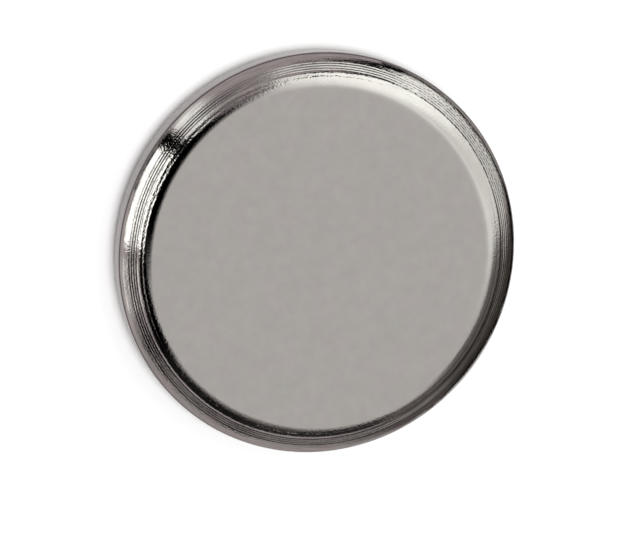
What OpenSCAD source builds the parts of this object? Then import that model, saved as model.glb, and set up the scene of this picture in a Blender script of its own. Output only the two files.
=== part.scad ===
// Disc magnet: one thin disc, pressed and sintered, turned at its rim and ground on its side.
// It lies flat. The origin is the centre of its back face, and +Z is the axis of the disc.
// The rim takes two cuts of the lathe, a steep bevel and a flatter inner one, and rolls over a
// soft shoulder into the face. Both faces are alike, so the rim is worked out for the upper
// half and mirrored.

/* [Disc] */
// Outside diameter, across the ground land
disc_d = 16; // [5:0.5:40]
// Thickness, from one flat face to the other
disc_t = 2; // [1.6:0.1:5]

/* [Rim] */
// Height of the ground land, the straight part of the side
land_h = 0.6; // [0.2:0.05:0.9]
// Radius of the edge between the land and the bevel
edge_r = 0.12; // [0.05:0.01:0.3]
// Angle between the bevel and the flat face, in degrees
bevel_angle = 31; // [28:1:40]
// Angle between the inner bevel and the flat face, in degrees
inner_angle = 25; // [20:1:27]
// Width of the inner bevel, along its slope
inner_w = 0.25; // [0.15:0.05:0.4]
// Radius of the soft shoulder between the inner bevel and the flat face
shoulder_r = 1; // [0.4:0.1:1.6]

/* [Turned rings] */
// Number of tool rings round the bevel
ring_n = 4; // [1:1:7]
// Distance from one ring to the next, along the bevel
ring_pitch = 0.09; // [0.06:0.005:0.12]
// Distance from the last ring to the upper edge of the bevel
ring_gap = 0.08; // [0.05:0.01:0.1]
// Width of a ring
ring_w = 0.045; // [0.02:0.005:0.08]
// Depth of a ring
ring_depth = 0.003; // [0.002:0.001:0.01]
// Width of the witness line, the groove round the middle of the inner bevel
witness_w = 0.05; // [0.02:0.01:0.1]
// Depth of the witness line
witness_depth = 0.003; // [0.002:0.001:0.01]

/* [Hidden] */
$fn = 180;
// Straight steps in a round of the section
round_steps = 12;

disc_r = disc_d / 2;
half_t = disc_t / 2;

// Up along a slope towards the flat face, and square to the slope, out of the metal.
// Points of the section are [radius, height above the middle plane].
function upwards(angle) = [-cos(angle), sin(angle)];
function outwards(angle) = [sin(angle), cos(angle)];

// Each round is tangent to what lies on both sides of it. The bevel takes up the height that
// the land, the inner bevel and the two rounds leave.
edge_centre = [disc_r - edge_r, land_h / 2];
bevel_foot = edge_centre + edge_r * outwards(bevel_angle);
inner_rise = inner_w * sin(inner_angle);
shoulder_rise = shoulder_r * (1 - cos(inner_angle));
bevel_rise = half_t - bevel_foot[1] - inner_rise - shoulder_rise;
bevel_w = bevel_rise / sin(bevel_angle);
inner_foot = bevel_foot + bevel_w * upwards(bevel_angle);
inner_top = inner_foot + inner_w * upwards(inner_angle);
shoulder_centre = inner_top - shoulder_r * outwards(inner_angle);
first_ring = bevel_w - ring_gap - (ring_n - 1) * ring_pitch;

// Points of a round between two directions, in degrees above the middle plane
function round_points(centre, radius, from, to) = [
    for (i = [0 : round_steps])
        let (angle = from + (to - from) * i / round_steps)
            centre + radius * [cos(angle), sin(angle)]
];

// Groove in a slope: its lower lip, its bottom and its upper lip
function groove_points(foot, angle, middle, width, depth) = [
    foot + (middle - width / 2) * upwards(angle),
    foot + middle * upwards(angle) - depth * outwards(angle),
    foot + (middle + width / 2) * upwards(angle)
];

// Tool rings round the bevel
function ring_points() = [
    for (i = [0 : ring_n - 1])
        let (middle = first_ring + i * ring_pitch)
            each groove_points(bevel_foot, bevel_angle, middle, ring_w, ring_depth)
];

// Upper half of the rim, from the land to the edge of the flat face
function rim_points() = concat(
    round_points(edge_centre, edge_r, 0, 90 - bevel_angle),
    ring_points(),
    [inner_foot],
    groove_points(inner_foot, inner_angle, inner_w / 2, witness_w, witness_depth),
    round_points(shoulder_centre, shoulder_r, 90 - inner_angle, 90)
);

// The same rim below the middle plane, in the order that carries the outline on upwards
function mirrored(points) = [
    for (i = [len(points) - 1 : -1 : 0]) [points[i][0], -points[i][1]]
];

// Half of the magnet's section, from the axis out to the rim
module section() {
    polygon(concat(
        [[0, -half_t]],
        mirrored(rim_points()),
        rim_points(),
        [[0, half_t]]
    ));
}

// The whole magnet: its section turned once round the axis
module disc_magnet() {
    color([0.66, 0.65, 0.63])
        translate([0, 0, half_t])
            rotate_extrude() section();
}

disc_magnet();
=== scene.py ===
"""A nickel-plated disc magnet lying on a pale table, 16 mm across and 2 mm thick."""
import math

import bpy
import numpy as np
from mathutils import Matrix, Vector


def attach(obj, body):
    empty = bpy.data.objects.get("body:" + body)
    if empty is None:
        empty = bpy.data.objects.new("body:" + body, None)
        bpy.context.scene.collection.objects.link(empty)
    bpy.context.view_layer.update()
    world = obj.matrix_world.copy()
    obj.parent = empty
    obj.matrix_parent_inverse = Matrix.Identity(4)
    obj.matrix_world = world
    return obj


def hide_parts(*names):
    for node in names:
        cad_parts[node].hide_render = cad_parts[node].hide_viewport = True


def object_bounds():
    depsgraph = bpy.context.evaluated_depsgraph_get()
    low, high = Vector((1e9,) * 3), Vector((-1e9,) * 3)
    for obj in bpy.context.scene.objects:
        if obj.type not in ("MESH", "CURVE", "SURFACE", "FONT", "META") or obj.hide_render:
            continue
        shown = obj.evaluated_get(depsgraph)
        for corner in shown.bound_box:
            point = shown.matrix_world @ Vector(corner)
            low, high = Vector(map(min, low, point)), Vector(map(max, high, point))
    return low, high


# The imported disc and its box. The disc lies flat on its back face, with its axis along Z.
# Every size below is in metres, and MM turns a size in millimetres into one.
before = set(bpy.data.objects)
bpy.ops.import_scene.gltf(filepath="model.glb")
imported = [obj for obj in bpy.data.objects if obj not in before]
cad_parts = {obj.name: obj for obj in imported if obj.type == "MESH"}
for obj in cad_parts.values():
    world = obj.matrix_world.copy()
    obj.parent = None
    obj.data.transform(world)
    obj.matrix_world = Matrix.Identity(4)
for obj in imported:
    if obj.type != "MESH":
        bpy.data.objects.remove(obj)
cad_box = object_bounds()
MM = 0.001
disc_radius = (cad_box[1].x - cad_box[0].x) / 2
disc_height = cad_box[1].z - cad_box[0].z
disc_middle = Vector((0, 0, disc_height / 2))


# Camera. A long lens looks down on the front face from 71.6 degrees up, and is rolled
# so that the near side of the rim is at the upper left of the picture.
camera_elevation = math.radians(71.6)
camera_roll = math.radians(129.2)
camera_distance = 160 * MM
aim_right = 0.137 * MM
aim_down = 0.636 * MM

to_camera = Vector((0, -math.cos(camera_elevation), math.sin(camera_elevation)))
level_right = Vector((1, 0, 0))
level_up = to_camera.cross(level_right)
camera_right = math.cos(camera_roll) * level_right + math.sin(camera_roll) * level_up
camera_up = to_camera.cross(camera_right)

camera = bpy.data.objects.new("camera", bpy.data.cameras.new("camera"))
bpy.context.scene.collection.objects.link(camera)
camera.data.sensor_width = 36
camera.data.lens = 229.3
camera.data.clip_start = 5 * MM
camera.data.clip_end = 10
camera_turn = Matrix((camera_right, camera_up, to_camera)).transposed().to_4x4()
aim = disc_middle + aim_right * camera_right - aim_down * camera_up
camera.matrix_world = Matrix.Translation(aim + camera_distance * to_camera) @ camera_turn
bpy.context.scene.camera = camera
bpy.context.scene.view_settings.view_transform = "Standard"


# Studio. Polished metal is mostly what it mirrors, so the room round the disc is a plain grey
# dome with soft edged panels: lit boxes and walls, and dark flags, one of them at the camera.
# The dome turns white at the horizon, where it meets the pale table.
def direction(azimuth, zenith):
    """Unit vector: azimuth is turned from +X towards +Y, and zenith is tipped from straight up."""
    a, z = math.radians(azimuth), math.radians(zenith)
    return Vector((math.sin(z) * math.cos(a), math.sin(z) * math.sin(a), math.cos(z)))


def math_node(tree, operation, *operands):
    """One Math node's result. Each operand is a number or another node's output."""
    node = tree.nodes.new("ShaderNodeMath")
    node.operation = operation
    for place, value in enumerate(operands):
        if isinstance(value, (int, float)):
            node.inputs[place].default_value = value
        else:
            tree.links.new(value, node.inputs[place])
    return node.outputs[0]


def vector_math(tree, operation, first, second=None):
    """One Vector Math node's result. The second operand is an output, a vector, or a scale."""
    node = tree.nodes.new("ShaderNodeVectorMath")
    node.operation = operation
    tree.links.new(first, node.inputs[0])
    if second is not None:
        socket = node.inputs["Scale" if operation == "SCALE" else 1]
        if isinstance(second, (int, float, tuple)):
            socket.default_value = second
        else:
            tree.links.new(second, socket)
    return node.outputs["Value" if operation == "DOT_PRODUCT" else "Vector"]


def smooth_step(tree, value, start, end):
    """0 before start, 1 after end, and an S curve between them."""
    node = tree.nodes.new("ShaderNodeMapRange")
    node.interpolation_type = "SMOOTHSTEP"
    tree.links.new(value, node.inputs["Value"])
    for name, bound in (("From Min", start), ("From Max", end)):
        if isinstance(bound, (int, float)):
            node.inputs[name].default_value = bound
        else:
            tree.links.new(bound, node.inputs[name])
    return node.outputs["Result"]


def noise(tree, place, scale, detail):
    """Soft random blotches about one unit over scale wide, with finer ones by detail."""
    node = tree.nodes.new("ShaderNodeTexNoise")
    tree.links.new(place, node.inputs["Vector"])
    node.inputs["Scale"].default_value = scale
    node.inputs["Detail"].default_value = detail
    return node.outputs["Fac"]


def mix_colour(tree, amount, first, second):
    """Goes from the first colour to the second. Each is three numbers or another node's output."""
    node = tree.nodes.new("ShaderNodeMix")
    node.data_type = "RGBA"
    tree.links.new(amount, node.inputs["Factor"])
    for name, colour in (("A", first), ("B", second)):
        if isinstance(colour, tuple):
            node.inputs[name].default_value = (*colour, 1)
        else:
            tree.links.new(colour, node.inputs[name])
    return node.outputs["Result"]


def make_panel_group():
    """Lays one soft edged rectangle over a colour that depends on direction.

    Across and up are distances from the panel's middle on a plane one unit away, so they are
    the direction's two sideways parts divided by the part that points at the panel. The panel
    fades out where the direction turns away from it.
    """
    least_facing = 0.05
    full_facing = 0.35
    group = bpy.data.node_groups.new("studio_panel", "ShaderNodeTree")
    socket = group.interface.new_socket
    socket("Behind", in_out="INPUT", socket_type="NodeSocketColor")
    socket("Direction", in_out="INPUT", socket_type="NodeSocketVector")
    socket("Facing", in_out="INPUT", socket_type="NodeSocketVector")
    socket("Sideways", in_out="INPUT", socket_type="NodeSocketVector")
    socket("Upwards", in_out="INPUT", socket_type="NodeSocketVector")
    socket("Half width", in_out="INPUT", socket_type="NodeSocketFloat")
    socket("Half height", in_out="INPUT", socket_type="NodeSocketFloat")
    socket("Feather", in_out="INPUT", socket_type="NodeSocketFloat")
    socket("Light", in_out="INPUT", socket_type="NodeSocketColor")
    socket("Colour", in_out="OUTPUT", socket_type="NodeSocketColor")
    nodes, link = group.nodes, group.links.new
    given = nodes.new("NodeGroupInput")
    result = nodes.new("NodeGroupOutput")

    def along(axis):
        return vector_math(group, "DOT_PRODUCT", given.outputs["Direction"], given.outputs[axis])

    facing = along("Facing")
    ahead = math_node(group, "MAXIMUM", facing, least_facing)
    mask = smooth_step(group, facing, 0, full_facing)
    for axis, half in (("Sideways", "Half width"), ("Upwards", "Half height")):
        offset = math_node(group, "ABSOLUTE", math_node(group, "DIVIDE", along(axis), ahead))
        inner = math_node(group, "SUBTRACT", given.outputs[half], given.outputs["Feather"])
        outer = math_node(group, "ADD", given.outputs[half], given.outputs["Feather"])
        mask = math_node(group, "MULTIPLY", mask, smooth_step(group, offset, outer, inner))
    blend = mix_colour(group, mask, given.outputs["Behind"], given.outputs["Light"])
    link(blend, result.inputs["Colour"])
    return group


dome_light = (0.40, 0.37, 0.38)
# name: azimuth, zenith, half width, half height, feather and turn in degrees, then light
studio_panels = {
    "ceiling_sheet": (95, 20, 42, 42, 8, 0, (0.58, 0.58, 0.58)),
    "large_softbox": (168, 48, 36, 24, 20, -4, (1.36, 1.41, 1.38)),
    "softbox_wing": (137, 49, 12, 21, 9, -2, (0.86, 0.88, 0.86)),
    "left_wall": (156, 84, 44, 14, 1.5, 18, (0.44, 0.41, 0.42)),
    "far_shelf": (98, 76, 22, 10, 5, 0, (0.13, 0.125, 0.12)),
    "far_wall": (104, 79, 30, 5, 4, 0, (0.05, 0.045, 0.04)),
    "far_spot": (102, 62, 14, 6, 6, 0, (0.12, 0.115, 0.11)),
    "far_line": (98, 85.5, 20, 3.5, 1.5, 0, (0, 0, 0)),
    "far_line_end": (74, 79.5, 10, 2, 1.5, -27, (0.03, 0.03, 0.03)),
    "left_line": (146, 72.3, 36, 2.3, 1.2, 21, (0, 0, 0)),
    "right_shade": (44, 57, 46, 9, 7, -28, (0.10, 0.09, 0.09)),
    "right_flag": (14, 54, 24, 7, 2.5, -18, (0.01, 0.01, 0.01)),
    "far_right_flag": (52, 65, 17, 4.5, 2.5, -10, (0.02, 0.02, 0.02)),
    "camera_hood": (284, 28, 24, 17, 9, 0, (0, 0, 0)),
    "hood_side": (345, 39.5, 16, 9.5, 5, -8, (0, 0, 0)),
    "near_left_wall": (224, 65, 34, 20, 2, 12, (0.40, 0.36, 0.38)),
    "wall_top": (233, 35, 9, 6, 3, 0, (0.20, 0.18, 0.19)),
    "left_gap": (190, 54.5, 18, 2.8, 1.5, 33, (0, 0, 0)),
    "low_near_box": (315, 60, 30, 12, 8, 0, (0.48, 0.45, 0.46)),
    "near_strip": (299, 43.1, 15, 5.1, 1.5, -6, (1.9, 1.96, 1.94)),
    "strip_tail": (333, 54.3, 8, 1.2, 1.2, -18, (1.1, 1.1, 1.1)),
    "near_glint": (261, 44, 6, 6, 6, 0, (1.2, 1.23, 1.22)),
    "column": (273, 43, 3, 9, 1.2, 0, (0, 0, 0)),
    "column_foot": (274, 36.5, 6, 3, 2, 0, (0, 0, 0)),
    "column_cap": (285, 50.2, 9, 1.4, 0.8, -4, (0, 0, 0)),
}

world = bpy.data.worlds.new("studio")
bpy.context.scene.world = world
world.use_nodes = True
nodes, link = world.node_tree.nodes, world.node_tree.links.new
nodes.clear()
looking = nodes.new("ShaderNodeTexCoord").outputs["Generated"]
panel_group = make_panel_group()
colour = nodes.new("ShaderNodeRGB").outputs[0]
colour.default_value = (*dome_light, 1)
for name, (azimuth, zenith, half_width, half_height, feather, turn, light) in studio_panels.items():
    facing = direction(azimuth, zenith)
    level = direction(azimuth + 90, 90)
    sideways = Matrix.Rotation(math.radians(turn), 3, facing) @ level
    panel = nodes.new("ShaderNodeGroup")
    panel.node_tree = panel_group
    panel.name = name
    link(colour, panel.inputs["Behind"])
    link(looking, panel.inputs["Direction"])
    panel.inputs["Facing"].default_value = facing
    panel.inputs["Sideways"].default_value = sideways
    panel.inputs["Upwards"].default_value = facing.cross(sideways)
    panel.inputs["Half width"].default_value = math.tan(math.radians(half_width))
    panel.inputs["Half height"].default_value = math.tan(math.radians(half_height))
    panel.inputs["Feather"].default_value = math.tan(math.radians(feather))
    panel.inputs["Light"].default_value = (*light, 1)
    colour = panel.outputs["Colour"]

split = nodes.new("ShaderNodeSeparateXYZ")
link(looking, split.inputs[0])
white = (1, 1, 1)
white_up_to = math.sin(math.radians(1))
dome_from = math.sin(math.radians(3))
above_horizon = smooth_step(world.node_tree, split.outputs["Z"], white_up_to, dome_from)
background = nodes.new("ShaderNodeBackground")
link(mix_colour(world.node_tree, above_horizon, white, colour), background.inputs["Color"])
background.inputs["Strength"].default_value = 1
link(background.outputs[0], nodes.new("ShaderNodeOutputWorld").inputs["Surface"])

# A wide overhead sun lifts the matt table. The metal does not mirror it.
fill = bpy.data.objects.new("overhead_fill", bpy.data.lights.new("overhead_fill", "SUN"))
bpy.context.scene.collection.objects.link(fill)
fill.data.angle = math.radians(25)
fill.data.energy = 2.1
fill.visible_glossy = False


# Table. A plain matt pale sheet under the disc, wide enough to reach the horizon.
table_size = 1.5
table_colour = (0.96, 0.96, 0.96)

table_mesh = bpy.data.meshes.new("table")
corners = [(-table_size, -table_size, 0), (table_size, -table_size, 0)]
corners += [(table_size, table_size, 0), (-table_size, table_size, 0)]
table_mesh.from_pydata(corners, [], [(0, 1, 2, 3)])
table = bpy.data.objects.new("table", table_mesh)
bpy.context.scene.collection.objects.link(table)
paint = bpy.data.materials.new("pale_matt_sheet")
paint.use_nodes = True
sheet = paint.node_tree.nodes["Principled BSDF"]
sheet.inputs["Base Color"].default_value = (*table_colour, 1)
sheet.inputs["Roughness"].default_value = 1
sheet.inputs["Specular IOR Level"].default_value = 0
table_mesh.materials.append(paint)


# Disc. One solid under bright nickel plate, alike on both faces. The flat face rolls over a round
# shoulder to a short run with a witness line, where two cuts meet, then to a steeper turned bevel
# with four fine tool rings, an edge round, and an upright land.
edge_round = 0.12 * MM
witness_at = 0.93 * MM
witness_half = 0.035 * MM
witness_rise = math.radians(4.2)
first_ring = 0.365 * MM
ring_pitch = 0.095 * MM
ring_half = 0.020 * MM
ring_dips = np.radians([7, 13, 14, 9])
# Slope of the section in degrees, at the places in from the bevel's foot where it changes.
rim_slopes = {
    "foot": (0.00, 33.3),
    "foot roll": (0.09, 33.3),
    "bevel": (0.13, 31),
    "hollow before the rings": (0.27, 29.5),
    "rings": (0.37, 31.3),
    "bevel end": (0.74, 31.3),
    "inner run": (0.79, 25.5),
    "inner run end": (1.02, 23),
    "shoulder": (1.24, 15.5),
    "face edge": (1.38, 5),
    "face": (1.56, 0),
}
around_count = 400
edge_rows = 8
walk_points = 4001


def section_slope(along):
    """Slope of the section at a distance along it: straight steps between the named places, a dip
    of slope at each tool ring and a rise of slope at the witness line."""
    places, angles = np.array(list(rim_slopes.values())).T
    slope = np.interp(along, places * MM, np.radians(angles))
    for ring, dip in enumerate(ring_dips):
        offset = (along - first_ring - ring * ring_pitch) / ring_half
        slope = slope - dip * np.exp(-offset**2)
    offset = (along - witness_at) / witness_half
    return slope + witness_rise * np.exp(-offset**2)


def running_total(rate, step):
    """Total of a rate along equal steps: each step adds the mean of the rates at its two ends."""
    return np.concatenate([[0], np.cumsum((rate[1:] + rate[:-1]) / 2 * step)])


def half_section():
    """Radius, height above the middle plane, and distance in from the bevel's foot, from the face
    out to the land.

    The bevel and shoulder are walked along their own length: each step goes inwards by the
    cosine of the slope and up by its sine. The walk is then lifted so that it ends at the face.
    """
    walk_end = rim_slopes["face"][0]
    along = np.concatenate([
        np.linspace(0, 0.34, 21)[:-1],
        np.linspace(0.34, 0.74, 53)[:-1],
        np.linspace(0.74, 1.00, 21)[:-1],
        np.linspace(1.00, walk_end, 17),
    ]) * MM
    fine = np.linspace(0, along[-1], walk_points)
    slope = section_slope(fine)
    step = fine[1] - fine[0]
    inwards = running_total(np.cos(slope), step)
    upwards = running_total(np.sin(slope), step)
    foot_angle = slope[0]
    foot_radius = disc_radius - edge_round * (1 - math.sin(foot_angle))
    foot_height = disc_height / 2 - upwards[-1]
    full_turn = math.pi / 2 - foot_angle
    turn = np.linspace(0, full_turn, edge_rows + 1)[:-1]
    flat_radius = foot_radius - inwards[-1]
    face_radius = flat_radius * np.array([0.96, 0.5])
    radius = np.concatenate([
        disc_radius - edge_round * (1 - np.cos(turn)),
        foot_radius - np.interp(along, fine, inwards),
        face_radius,
    ])
    height = np.concatenate([
        foot_height - edge_round * (math.cos(foot_angle) - np.sin(turn)),
        foot_height + np.interp(along, fine, upwards),
        np.full(len(face_radius), disc_height / 2),
    ])
    from_foot = np.concatenate([
        edge_round * (turn - full_turn),
        along,
        along[-1] + flat_radius - face_radius,
    ])
    return radius[::-1], height[::-1], from_foot[::-1]


def revolve(name, radii, heights, count):
    """Turns a section round the Z axis: point (r, h) becomes (r cos a, r sin a, h) at each of
    count angles a. A fan of triangles closes each end on the axis."""
    angle = np.arange(count) * 2 * math.pi / count
    grid = np.stack([
        radii[:, None] * np.cos(angle),
        radii[:, None] * np.sin(angle),
        heights[:, None] + 0 * angle,
    ], axis=-1).reshape(-1, 3)
    rows = len(radii)
    points = np.vstack([grid, [[0, 0, heights[0]], [0, 0, heights[-1]]]])
    column = np.arange(count)
    after = (column + 1) % count
    row = np.arange(rows - 1)[:, None] * count
    quads = np.stack([row + column, row + count + column, row + count + after, row + after], axis=-1)
    top = np.stack([np.full(count, rows * count), column, after], axis=-1)
    last = (rows - 1) * count
    bottom = np.stack([np.full(count, rows * count + 1), last + after, last + column], axis=-1)
    mesh = bpy.data.meshes.new(name)
    faces = [*quads.reshape(-1, 4).tolist(), *top.tolist(), *bottom.tolist()]
    mesh.from_pydata(points.tolist(), [], faces)
    mesh.polygons.foreach_set("use_smooth", np.ones(len(mesh.polygons), dtype=bool))
    return mesh


radii, heights, from_foot = half_section()
radii = np.concatenate([radii, radii[::-1]])
heights = np.concatenate([heights, -heights[::-1]]) + disc_height / 2
# Each row's distance in from the foot is kept at its points, and the two centres come last.
row_distances = np.concatenate([from_foot, from_foot[::-1]])
point_distances = np.append(np.repeat(row_distances, around_count), [disc_radius, disc_radius])
disc_mesh = revolve("plated_disc", radii, heights, around_count)
kept_distance = disc_mesh.attributes.new("from_foot", "FLOAT", "POINT")
kept_distance.data.foreach_set("value", point_distances / MM)
plated_disc = bpy.data.objects.new("plated_disc", disc_mesh)
bpy.context.scene.collection.objects.link(plated_disc)


def bright_nickel():
    """Bright nickel plate: a warm grey metal, satin on the face and polished on the turned rim.

    Places are in millimetres and heights in thousandths of one. The rim carries a fine grain,
    deeper on the inner run and shallower at the foot, and lines that run round it. The face only
    swells a little. The tint is blotchy, streaked along the lines, and a little darker where the
    rings are cut. The land is duller, and its colour is painted darker, with soft patches, as
    painted shade for the dim surroundings it mirrors; a painted dark line at its edge stands in for
    the dark reflection under the edge round.
    """
    material = bpy.data.materials.new("bright_nickel")
    material.use_nodes = True
    tree = material.node_tree
    nodes, link = tree.nodes, tree.links.new
    metal = nodes["Principled BSDF"]
    coordinates = nodes.new("ShaderNodeTexCoord")
    place = vector_math(tree, "SCALE", coordinates.outputs["Object"], 1 / MM)
    rim = nodes.new("ShaderNodeAttribute")
    rim.attribute_name = "from_foot"

    def add(first, second):
        return math_node(tree, "ADD", first, second)

    def subtract(first, second):
        return math_node(tree, "SUBTRACT", first, second)

    def multiply(first, second):
        return math_node(tree, "MULTIPLY", first, second)

    def past(start, end):
        """Rises from 0 to 1 between two distances in from the bevel's foot."""
        return smooth_step(tree, rim.outputs["Fac"], start, end)

    # The land mask starts a little above the foot, so the painted shade of the land also covers the
    # edge round.
    land = past(0.01, -0.02)
    # Painted shade: a dark line at the land's edge stands in for the dark reflection under the edge
    # round.
    edge_painted_shade = multiply(land, past(-0.090, -0.060))
    foot = past(0.35, 0.10)
    rings = multiply(past(0.27, 0.33), past(0.72, 0.66))
    inner_run_start = past(0.76, 0.82)
    turned = subtract(1, past(0.80, 1.00))
    bevel = subtract(1, past(1.00, 1.40))
    inner_run = multiply(inner_run_start, bevel)
    face = past(1.15, 1.6)

    # Noise in a space wrapped round the axis: long round the rim, and fine across it.
    lines_across = 22
    spots_round = 9
    around = vector_math(tree, "NORMALIZE", vector_math(tree, "MULTIPLY", place, (1, 1, 0)))
    spread = nodes.new("ShaderNodeCombineXYZ")
    link(multiply(rim.outputs["Fac"], lines_across), spread.inputs["Z"])
    wrapped = vector_math(tree, "SCALE", around, spots_round)
    line_place = vector_math(tree, "ADD", wrapped, spread.outputs[0])

    grain_height = 3.0
    line_height = 1.0
    swell_height = 5.0
    inner_run_grain = 0.6
    foot_grain_loss = 0.75
    grain_depth = add(bevel, multiply(inner_run, inner_run_grain))
    grain_depth = subtract(grain_depth, multiply(foot, foot_grain_loss))
    grain = multiply(noise(tree, place, 12, 1), grain_depth)
    lines = multiply(noise(tree, line_place, 1, 2), turned)
    swell = noise(tree, place, 0.9, 2)
    height = add(multiply(grain, grain_height), multiply(lines, line_height))
    height = add(height, multiply(swell, swell_height))
    bump = nodes.new("ShaderNodeBump")
    bump.inputs["Strength"].default_value = 1
    bump.inputs["Distance"].default_value = 0.001 * MM
    link(height, bump.inputs["Height"])
    link(bump.outputs["Normal"], metal.inputs["Normal"])

    polished = 0.03
    satin_more = 0.12
    land_more = 0.15
    haze_more = 0.04
    roughness = math_node(tree, "MULTIPLY_ADD", face, satin_more, polished)
    roughness = add(roughness, multiply(land, land_more))
    roughness = add(roughness, multiply(noise(tree, place, 2.5, 3), haze_more))
    link(roughness, metal.inputs["Roughness"])

    warm_nickel = (0.700, 0.628, 0.610)
    cool_nickel = (0.626, 0.622, 0.576)
    # Painted shade: the land's colour is darkened far below the face's, standing in for the dim
    # surroundings it mirrors; its duller finish is in the roughness.
    land_nickel_painted_shade = (0.22, 0.194, 0.193)
    # Colour of that painted dark line at the land's edge.
    edge_shade_colour = (0.14, 0.124, 0.123)
    streak_depth = 0.8
    ring_darkening = 0.14
    tint = mix_colour(tree, noise(tree, place, 1.1, 4), warm_nickel, cool_nickel)
    streak = multiply(subtract(noise(tree, line_place, 1, 3), 0.5), turned)
    blotch = math_node(tree, "MULTIPLY_ADD", noise(tree, place, 2.2, 3), 0.16, 0.92)
    blotch = add(blotch, multiply(streak, streak_depth))
    blotch = subtract(blotch, multiply(rings, ring_darkening))
    mottled = vector_math(tree, "SCALE", tint, blotch)
    patch = math_node(tree, "MULTIPLY_ADD", noise(tree, place, 3.5, 3), 0.5, 0.78)
    # The land's colour carries painted shade: a darkened land, a painted dark line at its edge, and
    # soft patches.
    dull_land_painted_shade = mix_colour(tree, edge_painted_shade, land_nickel_painted_shade, edge_shade_colour)
    dull_land_painted_shade = vector_math(tree, "SCALE", dull_land_painted_shade, patch)
    link(mix_colour(tree, land, mottled, dull_land_painted_shade), metal.inputs["Base Color"])
    metal.inputs["Metallic"].default_value = 1
    return material


plated_disc.data.materials.append(bright_nickel())
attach(plated_disc, "root")
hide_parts("disc_magnet")
